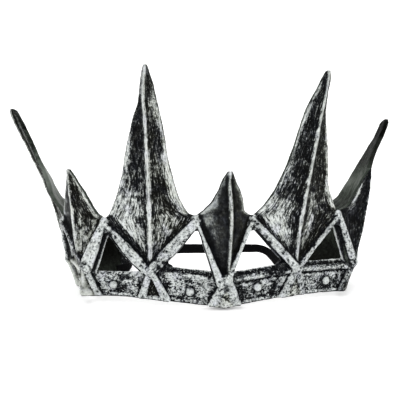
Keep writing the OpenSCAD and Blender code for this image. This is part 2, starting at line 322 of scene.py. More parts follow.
def leaf(k):
    i, s = low_k(k), side(k)
    a = FACING[i]
    u = np.array([s * cosd(a), sind(a), 0.0])
    n = np.array([s * sind(a), -cosd(a), 0.0])
    o = place(k, 0, 0, 0)
    vb = (valley(-0.5) if i == 0 else valley(s * (i - 0.5))) - o
    vf = valley(s * (i + 0.5)) - o
    rows = np.array(POINTS[k], float)
    hv = [r[0] for r in rows if r[1] < 0][0]
    top, base = rows[-1, 0], CROSS_H - 2
    hs = np.concatenate([np.linspace(base, hv, 18)[:-1],
                         hv + (top - hv) * np.linspace(0, 1, 74) ** 1.15])
    ribs = RIB[1 if i % 2 else 0]
    m1, m2 = 49, 17
    q = np.concatenate([np.linspace(-1, 1, m1), np.linspace(1, -1, m2)])
    front = np.arange(m1 + m2) < m1
    rv = float(table(rows[:, [0, 4]], [hv])[0][0])
    pts, att = [], []
    for h in hs:
        low = h < hv
        xm, r = (float(c[0]) for c in table(rows[:, [0, 3, 4]], [h]))
        zb, ze = vb[2], vf[2]
        if low:
            g = (h - base) / (hv - base)
            f = 0.06 + 0.94 * g
            xb, xe = vb @ u * f, vf @ u * f
            nb, ne = g * (vb @ n), g * (vf @ n)
            lift_b, lift_e = g * (zb - hv), g * (ze - hv)
        else:
            xb, xe = (float(np.interp(h, rows[:, 0], rows[:, c])) for c in (1, 2))
            w0 = vf @ u - vb @ u
            g = (xe - xb) / w0
            # the two rear ones open out flat above their valleys
            fold = 1 - 0.78 * float(smooth(h, hv, hv + 15)) if k in TWIST else 1.0
            nb, ne = r - g * (rv - vb @ n) * fold, r - g * (rv - vf @ n) * fold
            fade = max(0.0, 1 - (h - hv) / 6)
            lift_b, lift_e = (zb - hv) * fade, (ze - hv) * fade
            # the edges end on the valleys as they lie
            xb = xb + (vb @ u - rows[rows[:, 0] == hv][0, 1]) * fade
            xe = xe + (vf @ u - rows[rows[:, 0] == hv][0, 2]) * fade
        t = EDGE_T * (1.3 if low else 1.3 - 0.3 * (h - hv) / (top - hv))
        tip = smooth(top - h, 0, 5)
        t = EDGE_T * (1.3 + 0.12 * float(smooth(h, 60, 85))) * (0.72 + 0.28 * float(smooth(top - h, 0, 2.5))) if k in TWIST else t * (0.8 + 0.2 * tip)
        share = (h - base) / (top - base)
        rw, rh = (float(c[0]) for c in table(ribs, [share]))
        across = np.abs(q)
        xs = np.where(q < 0, xm + (xm - xb) * q, xm + (xe - xm) * q)
        ns = np.where(q < 0, r + (r - nb) * q, r + (ne - r) * q)
        width = np.where(q < 0, xm - xb, xe - xm)
        hollow = np.minimum(1.5, 0.10 * width) * np.sin(np.pi * across ** 0.85)
        edge = np.clip((1 - across) * width, 0, 1.1)
        round_off = 0.55 * (1 - edge / 1.1) ** 2 * tip
        rib = rh * np.exp(-((xs - xm) / rw) ** 2)
        nf = ns - hollow + rib - round_off
        mid = (nb + ne) / 2 * 0.45 + r * 0.55 - t - 0.3
        nback = np.where(q < 0, mid + (mid - (nb - t)) * q, mid + ((ne - t) - mid) * q)
        nback = nback + 0.35 * (1 - edge / 1.1) ** 2 * tip
        nn = np.where(front, nf, nback)
        dh = np.where(q < 0, lift_b, lift_e) * across
        if k in TWIST and not low:
            w = float(table(TWIST[k], [h])[0][0])
            c1, s1 = cosd(w), sind(w)
            xc, nc = xs, nn - (r - 1.8)
            xs, nn = xc * c1 + nc * s1, (r - 1.8) - xc * s1 + nc * c1
        p = o + xs[:, None] * u + nn[:, None] * n
        p[:, 2] += h + dh
        pts.append(p)
        att.append(np.stack([q * s, np.full(q.shape, h), (np.where(q < 0, xm - xb, xe - xm) * q) * s], -1))
    src.rings(np.array(pts), np.array(att), np.where(front, LEAF, BACK), k)
    LEAF_DATA[k] = (hv, top)


for k in range(-3, 4):
    leaf(k)

# ------------------------------------------------------- struts and valleys
# Width of each strut from the crossing to the valley, by boss and valley
STRUT_W = {(-1, -1.5): (4.0, 5.4, 5.4, 3.8, 2.0), (-1, -0.5): (5.4, 6.2, 6.2, 5.4, 4.2),
           (0, -0.5): (4.8, 3.2, 2.2, 1.6, 1.4), (0, 0.5): (3.8, 2.4, 2.1, 1.9, 1.7),
           (1, 0.5): (4.2, 4.4, 4.2, 4.0, 3.4), (1, 1.5): (3.2, 3.0, 2.8, 2.6, 2.0),
           (2, 1.5): (4.8, 4.8, 4.2, 3.4, 2.8), (-2, -1.5): (7.6, 6.8, 5.9, 4.8, 3.4)}
LIP_W = {(2, 1.5): 2.9, (-2, -1.5): 2.1, (1, 1.5): 1.9, (0, -0.5): 0.7, (0, 0.5): 1.0, (-1, -0.5): 1.2, (-1, -1.5): 2.3}
# how far the sheet shows on the other side, towards the point
INNER_LIP = {(-1, -0.5): 0.1, (1, 0.5): 0.3, (-2, -1.5): 0.1}
FOOT_SHIFT = {(0, -0.5): -4.4, (-1, -1.5): -1.5}   # where the foot of a strut leaves the crossing
STRUT_D = 2.1


def sweep(p, q, out, section, kind, owner, steps=22, wid=None):
    """Straight bar from p to q; section: across and outward, by share."""
    d = unit(q - p)
    v = unit(out - (out @ d) * d)
    u = np.cross(v, d)
    length = np.linalg.norm(q - p)
    pts, att = [], []
    for f in np.linspace(0, 1, steps):
        sec = np.array(section(f), float)
        c = p + (q - p) * f
        pts.append(c + sec[:, :1] * u + sec[:, 1:] * v)
        w = np.abs(sec[:, 0]).max()
        att.append(np.stack([sec[:, 0] / w, np.full(len(sec), f * length), sec[:, 1]], -1))
    src.rings(keep_up(np.array(pts)), np.array(att), kind, owner)


def bar_section(w, d, b):
    e = min(0.45, w * 0.18)
    return [[w / 2, -b], [w / 2, -b / 2], [w / 2, d * 0.45], [w / 2 - e * 0.3, d * 0.75], [w / 2 - e, d * 0.93],
            [w * 0.25, d], [0, d * 1.02], [-w * 0.25, d], [-w / 2 + e, d * 0.93], [-w / 2 + e * 0.3, d * 0.75],
            [-w / 2, d * 0.45], [-w / 2, -b / 2], [-w / 2, -b]]


STRUTS = []


def strut(k, v):
    p, q = crossing(k) + np.array([FOOT_SHIFT.get((k, v), 0.0), 0, 0]), valley(v)
    d = unit(q - p)
    out = unit(outward(v) + np.array([0, 0, -0.26]))
    ws = STRUT_W.get((k, v), (4.4, 4.4, 4.2, 3.8, 3.0))
    wid = lambda f: float(np.interp(f, np.linspace(0, 1, 5), ws))
    q2 = q + np.array([0, 0, -0.5 * wid(1) - 0.5]) + 0.6 * d
    bow = 0.35 if k else 0.6

    def face(f):
        sec = np.array(bar_section(wid(f), STRUT_D * (0.9 + 0.12 * math.sin(9 * f + k)), 1.9))
        sec[:, 1] += bow * math.sin(math.pi * f) * 0.5
        return sec

    def lip(f):
        wide, near = wid(f) / 2 + LIP_W.get((k, v), 1.45), wid(f) / 2 + INNER_LIP.get((k, v), 0.7)
        a, b = (near, wide) if v > k else (wide, near)
        return [[a, -2.5], [a, -1.3], [a - 0.4, -0.95], [-b + 0.4, -0.95], [-b, -1.3], [-b, -2.5]]

    sweep(p - 1.2 * d, q2, out, face, STRUT, int(k))
    sweep(p - 0.5 * d, q2 - 0.3 * d, out, lip, LIP, int(k))
    STRUTS.append((p, q, wid(0.5), k, v))


def blob(c, axes, kind, owner, power=1.0, n1=12, n2=20):
    """Rounded lump with these half axes (three vectors)."""
    pts, att = [], []
    for a in np.linspace(-88, 88, n1):
        b = np.radians(np.arange(n2) * 360 / n2)
        r = cosd(a) ** power
        x, y, z = r * np.cos(b), r * np.sin(b), np.full(n2, sind(a))
        pts.append(c + x[:, None] * axes[0] + y[:, None] * axes[1] + z[:, None] * axes[2])
        att.append(np.stack([x * 3, y * 3, z], -1))
    src.rings(keep_up(np.array(pts)), np.array(att), kind, owner)


UP = np.array([0, 0, 1.0])
for s in (-1, 1):
    for i in range(4):
        strut(s * i, s * (i + 0.5))
        strut(s * (i + 1), s * (i + 0.5))
        v = s * (i + 0.5)
        c, n = valley(v), outward(v)
        t = np.array([-n[1], n[0], 0])
        blob(c + UP * -2.2 - n * 0.7, (t * 2.5, UP * 3.0, n * 2.3), KNOT, i)
        blob(c + UP * -4.6 - n * 0.9, (t * 2.9, UP * 3.2, n * 1.6), LIP, i)

# the last bay on each side is closed behind its struts
for s in (-1, 1):
    v = 3 + 1 - SHARE
    tri = [(lambda n0, n1: (place(s * 3.03, 0, n0, 15.4), place(s * 3.94, 0, n0, 15.4),
                            place(s * v, 0, n1, VALLEY_H - rise(v) - 2)))(*d) for d in ((-1.5, 5.9), (-3.4, 4.0))]
    rows, att = [], []
    for g in np.linspace(0, 1, 24):
        line, la = [], []
        for j, d in enumerate((0, 1)):
            a0, b0, c0 = tri[d]
            ends = (a0 * (1 - g) + c0 * g, b0 * (1 - g) + c0 * g)
            fs = np.linspace(0, 1, 15) if d == 0 else np.linspace(1, 0, 15)
            for f in fs:
                dent = 0.5 * math.sin(math.pi * g) * math.sin(math.pi * f) * (1 if d == 0 else -1)
                line.append(ends[0] * (1 - f) + ends[1] * f - outward(s * 3.5) * dent)
                la.append([f, g * 27, d])
        rows.append(line)
        att.append(la)
    kinds = np.array([WEB] * 15 + [BANDB] * 15)
    src.rings(np.array(rows), np.array(att, float), kinds, 4 * s)

# the two corners by the middle where the foam has run together
for k, c in ((99, place(-0.79, 0, 0.6, 18.3)), (99, place(0.77, 0, 0.6, 18.3))):
    blob(c, (np.array([3.4, 0, 0]), UP * 2.4, np.array([0, 1.8, 0])), ROOT, k)

# -------------------------------------------------------------------- bosses
for k in range(-4, 5):
    s, n = side(k), outward(k)
    t = np.array([-n[1], n[0], 0]) * 1.0
    w = 1.0 if abs(k) < 2 else 0.74
    top = crossing(k) + UP * 0.6
    feet = [-2.4 * s] if abs(k) == 4 else [-6.8 * w, {-1: 8.4, -2: 11.8}.get(k, 6.8) * w]
    for f in feet:
        proud = 3.2 if k == -2 and f < 0 else 0.0
        q = beside(k, f, -LEAN + 0.2 + proud, 2.6 if abs(k) == 4 else 0.2)
        wide = {0: 1.25, -2: 0.8, -1: 0.9}.get(k, 1.0)
        sec = lambda g, wide=wide: bar_section((3.6 + 1.0 * g) * wide, 1.9, 3.0)
        sweep(top, q, unit(outward(k + f / BAY) + np.array([0, 0, -0.3])), sec, LEG, k, 14)
    if abs(k) == 4:
        continue
    blob(crossing(k) + n * 0.55, (t * 3.1, UP * 2.9, n * 1.7), KNOT, 10 + k)
    if k == 0:
        blob(crossing(k) + np.array([-3.4, 0, -1.4]) + n * 0.3, (t * 3.0, UP * 3.2, n * 1.7), KNOT, 10)
    # plate between the legs; nearly flush on the middle boss
    flush = {0: 2.3, 1: 2.0, -2: 3.3, 2: 1.0}.get(k, 0.0)
    apex = place(k, 0, 0, CROSS_H - 1)
    rows, att = [], []
    for g in np.linspace(0, 1, 14):
        line, la = [], []
        half = 7.0 * w * g + 0.4
        for x in np.linspace(-half, half + {-1: 1.4, -2: 3.4}.get(k, 0) * g, 17):
            foot = beside(k, x, -LEAN + 0.6 + (1.4 - 0.25 * x if k == -2 else 0), -0.4)
            a0 = apex * (1 - g) + foot * g
            belly = (flush + (0.9 * math.sin(math.pi * g) if k == 0 else 0)) * (1 - 0.25 * (x / (half + 0.01)) ** 2)
            line.append(a0 + n * (belly - 0.6))
            la.append([x, g, 1])
        for x in np.linspace(half, -half, 9):
            foot = beside(k, x, -LEAN + 0.6, -0.4)
            a0 = apex * (1 - g) + foot * g
            line.append(a0 - n * 2.9)
            la.append([x, g, 0])
        rows.append(line)
        att.append(la)
    src.rings(keep_up(np.array(rows)), np.array(att, float), PLATE, k)
    # foot that closes the triangle, and the root behind the crossing
    half = 8.2 * w
    stations = np.linspace(-half, half + (3.2 if k == -2 else 0), 15)
    prof = np.array([[-0.9, 0], [-0.7, 1.6], [-0.7, 2.6], [0.2, 3.0], [1.0, 2.4], [1.5, 1.3], [1.2, 0.2], [0.4, 0]])
    out_by = [max(0.0, 1.6 - 0.28 * x) if k == -2 else 0.0 for x in stations]
    rows = [beside(k, x, -LEAN + prof[:, 0] + o - 0.5 * min(1, abs(x) / half) ** 4, prof[:, 1] * (1 - 0.3 * min(1, abs(x) / half) ** 4))
            for x, o in zip(stations, out_by)]
    att = [np.stack([np.full(len(prof), x), prof[:, 1], prof[:, 0]], -1) for x in stations]
    src.rings(keep_up(np.array(rows)), np.array(att), FOOT, k)
    prof = np.array([[-WALL + 0.9, 13], [-WALL + 0.9, 18.3], [-0.9, 18.3], [-0.9, 13]])
    rows = [beside(k, x, lean(prof[:, 1]) + prof[:, 0], prof[:, 1]) for x in np.linspace(-5.8, 5.8, 9)]
    att = [np.zeros((4, 3)) for _ in range(9)]
    src.rings(np.array(rows), np.array(att), ROOT, k)

# ---------------------------------------------------------------------- band
OUTER = np.array([[0, -1.6], [0, -0.6], [0.3, -0.1], [0.9, 0.2], [1.6, 0.15], [2.1, -0.25], [2.6, -PANEL], [7, -PANEL - 0.1],
                  [11.8, -PANEL], [12.2, -PANEL - 1.1], [13.0, -PANEL - 1.1], [13.3, -0.1], [13.7, 0.65], [14.3, 0.85],
                  [BAND_H - 1.6, 0.75], [BAND_H - 0.9, 0.25], [BAND_H - 0.5, -0.7], [BAND_H, -WALL + 1.8],
                  [BAND_H + 0.6, -WALL + 1.45], [BAND_H + 2.0, -WALL + 1.35]])
INNER = np.array([[BAND_H + 2.2, -WALL + 0.6], [BAND_H + 2.0, -WALL], [BAND_H / 2, -WALL + 0.3], [1, -WALL], [0, -WALL + 0.6]])
OUTER_LEFT = np.array([[0, -1.6], [0, -0.7], [0.3, -0.3], [0.9, -0.15], [1.6, -0.25], [2.2, -0.5], [2.9, -PANEL], [7, -PANEL - 0.1],
                       [11.2, -PANEL], [12.0, -PANEL + 0.1], [12.8, -0.5], [13.6, 0.1], [14.4, 0.55], [15.4, 0.6],
                       [16.0, 0.1], [16.3, -0.9], [BAND_H - 0.1, -1.6], [BAND_H + 0.2, -WALL + 1.7],
                       [BAND_H + 1.0, -WALL + 1.5], [BAND_H + 2.1, -WALL + 1.4]])
PROFILE = np.concatenate([OUTER, INNER])
SILL_WORN = 4.0      # the sill left of the boss left of the middle is worn down
PROFILE_LEFT = np.concatenate([OUTER_LEFT, INNER])
kinds = np.array([BANDF] * len(OUTER) + [BANDB] * len(INNER))
knots = {(k, j): place(k, 0, (lean(pr[:, 0]) + pr[:, 1]) * mitre(k), pr[:, 0])
         for k in range(-4, 5) for j, pr in enumerate((PROFILE, PROFILE_LEFT))}
rows, att = [], []
for k in range(-4, 4):
    for f in np.arange(0, 1, 1 / 26):
        left = float(smooth(-(k + f), -0.02, 0.14))
        row = (knots[k, 0] * (1 - f) + knots[k + 1, 0] * f) * (1 - left) + (knots[k, 1] * (1 - f) + knots[k + 1, 1] * f) * left
        worn = float(smooth(-(k + f), 1.06, 1.16) * (1 - smooth(-(k + f), 1.84, 1.94)))
        row[:, 2] -= SILL_WORN * worn * smooth(PROFILE[:, 0], 13.4, 18)
        rows.append(row)
        att.append(np.stack([PROFILE[:, 0], np.full(len(PROFILE), (k + f) * BAY), PROFILE[:, 1]], -1))
rows.append(knots[4, 0])
att.append(np.stack([PROFILE[:, 0], np.full(len(PROFILE), 4 * BAY), PROFILE[:, 1]], -1))
src.rings(keep_up(np.array(rows)), np.array(att), kinds, 0)

# rivet heads, one in each bay, at listed places
RIVET_AT = {-3.5: (0, 0), -2.5: (0, 0), -1.5: (-2.4, 0), -0.5: (0.8, -0.9), 0.5: (-1.3, 0.5), 1.5: (3.6, -0.6), 2.5: (0, 0), 3.5: (0, 0)}
RIVETS = []
for k, (dt, dh) in RIVET_AT.items():
    n = outward(k)
    u = np.array([-n[1], n[0], 0])
    h = 7.6 + dh
    c = place(k + dt / BAY, 0, lean(h) - PANEL, h)
    RIVETS.append(c)
    rows, att = [], []
    for r, z in ((1, -0.5), (1, 0.12), (0.95, 0.36), (0.84, 0.6), (0.66, 0.8), (0.42, 0.93), (0.16, 1)):
        b = np.radians(np.arange(24) * 15)
        p = c + r * 2.3 * (np.cos(b)[:, None] * u + np.sin(b)[:, None] * UP) + z * 1.8 * n
        rows.append(p)
        att.append(np.stack([np.full(24, r), np.cos(b), np.sin(b)], -1))
    src.rings(np.array(rows), np.array(att), RIVET, 0)

V = np.concatenate(src.v)
F = np.concatenate(src.f)
A = np.concatenate(src.a)
E = np.concatenate(src.e)


# ------------------------------------------------------------ one fused skin
def mesh_from(name, verts, faces):
    me = bpy.data.meshes.new(name)
    me.vertices.add(len(verts))
    me.vertices.foreach_set("co", np.asarray(verts, np.float32).ravel())
    faces = np.asarray(faces, np.int32)
    c = faces.shape[1]
    me.loops.add(faces.size)
    me.loops.foreach_set("vertex_index", faces.ravel())
    me.polygons.add(len(faces))
    me.polygons.foreach_set("loop_start", np.arange(0, faces.size, c, dtype=np.int32))
    me.update(calc_edges=True)
    me.validate()
    return me


def evaluated(obj):
    dg = bpy.context.evaluated_depsgraph_get()
    dg.update()
    return bpy.data.meshes.new_from_object(obj.evaluated_get(dg))


def arrays(me):
    co = np.empty(len(me.vertices) * 3, np.float32)
    me.vertices.foreach_get("co", co)
    ed = np.empty(len(me.edges) * 2, np.int32)
    me.edges.foreach_get("vertices", ed)
    no = np.empty(len(me.vertices) * 3, np.float32)
    me.vertices.foreach_get("normal", no)
    return co.reshape(-1, 3).astype(float), ed.reshape(-1, 2), no.reshape(-1, 3).astype(float)


def relax(values, edges, times, amount=0.5):
    """Laplacian smoothing of a value or a place at each vertex."""
    n = len(values)
    deg = np.maximum(np.bincount(edges.ravel(), minlength=n), 1)
    out = np.array(values, float)
    for _ in range(times):
        if out.ndim == 1:
            acc = np.bincount(edges[:, 0], out[edges[:, 1]], n) + np.bincount(edges[:, 1], out[edges[:, 0]], n)
            out = out + amount * (acc / deg - out)
        else:
            acc = np.stack([np.bincount(edges[:, 0], out[edges[:, 1], c], n) + np.bincount(edges[:, 1], out[edges[:, 0], c], n)
                            for c in range(out.shape[1])], -1)
            out = out + amount * (acc / deg[:, None] - out)
    return out


VOXEL = 0.52
raw = bpy.data.objects.new("raw", mesh_from("raw", V, F))
bpy.context.scene.collection.objects.link(raw)
mod = raw.modifiers.new("fuse", "REMESH")
mod.mode = "VOXEL"
mod.voxel_size = VOXEL
mod.adaptivity = 0.0
fused = evaluated(raw)
bpy.data.objects.remove(raw)
P, ED, _ = arrays(fused)
P = relax(P, ED, 2, 0.5)
fused.vertices.foreach_set("co", P.astype(np.float32).ravel())
fused.update()

tree = BVHTree.FromPolygons([tuple(p) for p in V], [tuple(int(i) for i in f) for f in F])


def look_up(points):
    """For each point: what it lies on, whose it is and where on it."""
    hit = np.empty(len(points), np.int64)
    loc = np.empty((len(points), 3))
    for j, p in enumerate(points):
        l, _, i, _ = tree.find_nearest(Vector(p))
        hit[j] = i
        loc[j] = l
    tri = V[F[hit]]
    v0, v1, v2 = tri[:, 1] - tri[:, 0], tri[:, 2] - tri[:, 0], loc - tri[:, 0]
    d00, d01, d11 = (v0 * v0).sum(1), (v0 * v1).sum(1), (v1 * v1).sum(1)
    d20, d21 = (v2 * v0).sum(1), (v2 * v1).sum(1)
    den = np.where(np.abs(d00 * d11 - d01 * d01) < 1e-12, 1, d00 * d11 - d01 * d01)
    b1 = np.clip((d11 * d20 - d01 * d21) / den, 0, 1)
    b2 = np.clip((d00 * d21 - d01 * d20) / den, 0, 1)
    w = np.stack([1 - b1 - b2, b1, b2], -1)
    return E[hit, 0], E[hit, 1], (A[F[hit]] * w[..., None]).sum(1)


# hand-made unevenness, along the normals
_, _, N = arrays(fused)
rough = 0.30 * fractal(P, 8.0, 2, 3) + 0.14 * fractal(P, 2.5, 2, 11)
P = P + N * rough[:, None]
floor_z = foot_level(P)
P[:, 2] = np.maximum(P[:, 2], floor_z - 0.02)
fused.vertices.foreach_set("co", P.astype(np.float32).ravel())
fused.update()

crown = bpy.data.objects.new("crown", fused)
bpy.context.scene.collection.objects.link(crown)
tris = sum(len(p.vertices) - 2 for p in fused.polygons) if len(fused.polygons) < 1000 else 2 * len(fused.polygons)
LIMIT = 190000
if tris > LIMIT:
    mod = crown.modifiers.new("thin", "DECIMATE")
    mod.ratio = LIMIT / tris
    me = evaluated(crown)
    crown.modifiers.clear()
    crown.data = me
me = crown.data
P, ED, N = arrays(me)
print("crown skin:", len(P), "vertices,", len(me.polygons), "faces")

# ------------------------------------------------- what shows at each place
kind, owner, att = look_up(P)
q, h, xmm = att[:, 0], att[:, 1], att[:, 2]
flat1 = relax(P, ED, 6, 0.6)
flat2 = relax(P, ED, 40, 0.6)
bulge_s = ((P - flat1) * N).sum(1)
bulge_l = ((P - flat2) * N).sum(1)
mottle = fractal(P, 3.4, 3, 31)        # 3 mm marks, for edges and blotches
crumb = fractal(P, 1.5, 2, 37)

# tone also carries painted shade: beside the struts, on the bare foam backs of the points and inside the band
tone = np.full(len(P), 0.45)   # how much silver the brush left
grit = np.full(len(P), 1.0)    # how uneven it is
streak = np.full(len(P), 0.4)  # how far the unevenness follows the stroke
inner = np.zeros(len(P))       # bare foam on the inside
tint = np.zeros(len(P))        # green-brown against blue-black
stroke = P * 0.6


def spot(mask, a, b, a0, b0, ra, rb, amount, lean_by=0.0):
    """Adds a patch of paint with a broken edge."""
    da = (a - a0 - lean_by * (b - b0)) / ra
    db = (b - b0) / rb
    d = np.sqrt(da * da + db * db) + 0.35 * mottle
    tone[mask] += (amount * (1 - smooth(d, 0.55, 1.25)))[mask]


def line_distance(p, a, b):
    d = b - a
    f = np.clip((p - a) @ d / (d @ d), 0, 1)
    return np.linalg.norm(p - a - f[:, None] * d, axis=1), f


# Points. Silver on the left facet and on the right facet as seen from
# outside, unevenness, leaning of the strokes
LEAF_TONE = {-3: (0.20, 0.20, 0.8, 0.0), -2: (0.42, 0.31, 1.1, 0.0), -1: (0.28, 0.38, 1.2, 0.0), 0: (0.30, 0.235, 0.3, 0.0),
             1: (0.17, 0.23, 1.15, 0.0), 2: (0.05, 0.04, 0.7, 0.0), 3: (0.2, 0.2, 0.8, 0.0)}
# Columns: from -1 at the left edge to 1 at the right edge, height, half width,
# half height, how much more or less silver
PATCHES = {
    -1: [[-0.5, 108, 0.6, 8, 0.18], [-0.5, 90, 0.7, 10, -0.29], [-0.88, 76, 0.13, 9, 0.34], [-0.45, 76, 0.3, 14, -0.1],
         [-0.84, 62, 0.22, 6, 0.18], [-0.62, 45, 0.42, 12, 0.42], [-0.5, 34, 0.4, 9, 0.36], [-0.2, 48, 0.14, 18, 0.05],
         [-0.3, 62, 0.3, 8, 0.06], [0.5, 108, 0.8, 8, -0.3], [0.55, 97.6, 0.4, 1.6, 0.2], [0.8, 91, 0.34, 5, 0.2],
         [0.3, 92, 0.25, 5, 0.1], [0.4, 82, 0.4, 8, -0.26], [0.95, 68, 0.2, 18, 0.36], [0.72, 79, 0.22, 4, -0.3],
         [0.3, 70, 0.24, 6, 0.14], [0.45, 59, 0.3, 5, -0.24], [0.84, 56, 0.26, 9, 0.24], [0.62, 50, 0.2, 6, -0.16],
         [0.92, 47, 0.2, 5, 0.14], [0.26, 34, 0.3, 14, 0.16], [0.55, 40, 0.2, 8, 0.12], [0.78, 40, 0.12, 5, -0.14]],
    0: [[-0.1, 71.5, 0.9, 2.4, 0.26], [-0.74, 52, 0.24, 8, 0.2], [-0.62, 43, 0.2, 9, 0.12], [0.95, 56, 0.16, 8, 0.16],
        [0.6, 48, 0.3, 6, 0.1], [0.5, 32, 0.6, 9, 0.10], [0.5, 64, 0.4, 5, 0.03], [-0.3, 60, 0.5, 8, -0.04], [-0.3, 34, 0.4, 6, 0.05]],
    1: [[0.5, 113.4, 0.9, 2.4, 0.4], [-0.5, 112, 0.6, 3, -0.1], [-0.8, 105, 0.2, 4, 0.3], [-0.9, 94, 0.2, 5, 0.46], [-0.95, 84, 0.1, 6, 0.3],
        [-0.4, 84, 0.3, 14, -0.04], [-0.8, 64, 0.34, 6, 0.24], [-0.65, 45, 0.45, 12, 0.48], [-0.5, 33, 0.4, 10, 0.42],
        [-0.62, 55, 0.2, 4, -0.2], [-0.16, 44, 0.14, 20, -0.02], [0.95, 76, 0.16, 20, 0.24], [0.55, 82, 0.4, 12, 0.04], [0.72, 66, 0.3, 4, -0.26],
        [0.94, 55, 0.16, 9, 0.3], [0.32, 47, 0.12, 9, 0.36], [0.26, 34, 0.2, 9, 0.34], [0.62, 50, 0.2, 7, -0.06], [0.2, 58, 0.1, 6, 0.14], [0.7, 36, 0.2, 6, -0.1]],
    -2: [[0.95, 58, 0.14, 13, 0.4], [0.5, 29, 0.8, 10, 0.28], [0.5, 45, 0.36, 7, 0.06], [0.85, 40, 0.24, 8, 0.22], [0.2, 36, 0.14, 9, 0.25],
         [0.4, 60, 0.3, 8, -0.06], [0.3, 69, 0.6, 2, 0.2]],
    2: [[-0.9, 57, 0.14, 7, 0.62], [-0.7, 48, 0.14, 5, 0.34], [-0.5, 40, 0.34, 8, 0.2], [-0.4, 33, 0.3, 8, 0.1]],
    -3: [[-0.6, 60, 0.4, 14, 0.2], [-0.5, 36, 0.4, 9, 0.3], [0.5, 44, 0.4, 11, 0.2],
         [0, 104, 1.2, 9, -0.25]],
    3: [[0.6, 60, 0.4, 14, 0.25], [0.5, 36, 0.4, 9, 0.3], [-0.5, 44, 0.4, 11, 0.2], [0, 106, 1.2, 5, -0.3]],
}
for k in range(-3, 4):
    on = (kind == LEAF) & (owner == k)
    hv, top = LEAF_DATA[k]
    left, right, g, slant = LEAF_TONE[k]
    tone[on] = (left + (right - left) * smooth(q, -0.06, 0.06))[on]
    grit[on] = g
    streak[on] = 1.0 if k else 0.5
    tint[on] = (0.3 + 0.5 * smooth(q, -0.1, 0.1))[on]
    for a0, b0, ra, rb, amount in PATCHES[k]:
        spot(on, q, h, a0, b0, ra, rb, amount)
    # the rib, and the dark beside it
    share = (h - 14) / (top - 14)
    rw = table(RIB[1 if k % 2 else 0], share)[0]
    rib = np.exp(-(xmm / (rw * 0.9)) ** 4)
    gap = np.exp(-((np.abs(xmm) - rw * 1.8) / 0.7) ** 2) * smooth(share, 0.0, 0.06)
    tone[on] += (-0.12 * gap)[on]
    bright = {-1: 0.66, 0: 0.56, 1: 0.58, 2: 0.16, -2: 0.72}.get(k, 0.6) + 0.09 * smooth(0.45 - share, 0, 0.2) + 0.16 * mottle
    if k == 0:
        rib = rib * 0.85
    if k == -2:
        # the facet towards the rear is smooth and grey
        rear = smooth(-q, 0.08, 0.2)
        tone[on] = (tone * (1 - rear) + (0.37 - 0.06 * smooth(h, 55, 68) + 0.05 * mottle) * rear)[on]
        grit[on] = (grit * (1 - rear) + 0.3 * rear)[on]
        bright = bright + 0.1 * mottle
    tone[on] = (tone * (1 - rib) + bright * rib)[on]
    grit[on] = (grit * (1 - rib) + 0.8 * rib)[on]
    # the cut edge of the sheet stays dark
    reach = np.abs(xmm) * (1 / np.clip(np.abs(q), 0.05, 1) - 1)
    rim = 0.5 - 0.3 * smooth(-q, 0, 0.2) if k == 1 else 0.5
    tone[on] -= (rim * (1 - smooth(reach + 0.3 * crumb, 0.15, 0.55)))[on]
    stroke[on] = np.stack([q * (20 if k % 2 else 15) + slant * h, h * 0.16, np.full(len(q), 9.0 * k)], -1)[on]
    # The backs of the points are bare foam, painted dark as the shade inside the crown. On the two rear points the tip
    # is darker, partly where the paint runs over and partly as painted shade; it also darkens towards the foot, with
    # painted light towards one edge.
    back = (kind == BACK) & (owner == k)
    inner[back] = 1
    tone[back] = 0.3
    streak[back] = 1
    grit[back] = 0.6
    stroke[back] = np.stack([q * 9, h * 0.12, np.full(len(q), 50 + 9.0 * k)], -1)[back]
    if k == -3:
        tone[back] = (0.56 - 0.36 * smooth(h, 66, 84) - 0.05 * smooth(h, 88, 100) - 0.24 * (1 - smooth(h, 46, 68)) + 0.15 * smooth(-q, 0.3, 0.9))[back]
        grit[back] = (0.5 + 1.1 * smooth(h, 72, 84))[back]
    if k == 3:
        tone[back] = (0.45 - 0.31 * smooth(h, 62, 80) - 0.20 * smooth(h, 90, 97) - 0.24 * (1 - smooth(h, 48, 68)) + 0.25 * smooth(q, 0.8, 0.97) * (1 - smooth(h, 84, 92)))[back]

# dark beside the struts, on the points; how far it reaches, by boss and valley
SHADE = {(-1, -1.5): 1.9, (-1, -0.5): 0.45, (0, -0.5): 2.0, (0, 0.5): 0.8, (1, 0.5): 0.7, (1, 1.5): 1.8,
         (-2, -1.5): 0.15, (-2, -2.5): 0.4, (2, 1.5): 0.6, (2, 2.5): 1.0}
on = kind == LEAF
for p0, p1, w, k, v in STRUTS:
    d, f = line_distance(P, p0, p1)
    reach = SHADE.get((k, v), 1.2) * (0.55 + 0.45 * smooth(f, 0.05, 0.5)) * (1 - 0.5 * smooth(f, 0.75, 1.0))
    rim = w * 0.5 + 0.25
    dark = 1 - smooth(d + 0.9 * mottle + 0.5 * crumb, rim + reach - 0.2, rim + reach + 0.7)
    m = on & (owner == k)
    tone[m] = (tone * (1 - dark) + 0.06 * dark)[m]

# struts: worn light, dark along both sides, nicked
STRUT_TONE = {(-1, -1.5): 0.60, (-1, -0.5): 0.55, (0, -0.5): 0.66, (0, 0.5): 0.72, (1, 0.5): 0.58, (1, 1.5): 0.48, (2, 1.5): 0.60, (-2, -1.5): 0.75, (-2, -2.5): 0.36}
on = kind == STRUT
base = np.full(len(P), 0.62)
for p0, p1, w, k, v in STRUTS:
    d, f = line_distance(P, p0, p1)
    m = on & (owner == k) & (d < w)
    base[m] = STRUT_TONE.get((k, v), 0.62)
tone[on] = (base - 0.6 * smooth(-att[:, 2], -1.3, -0.6) - 0.16 * smooth(np.abs(q) + 0.2 * crumb, 0.8, 1.0)
            - 0.55 * smooth(-crumb - 0.35 * mottle, 0.30, 0.55) + 0.16 * mottle)[on]
grit[on] = 0.9
streak[on] = 0.35
stroke[on] = np.stack([q * 3, h * 0.22, owner * 5.0], -1)[on]
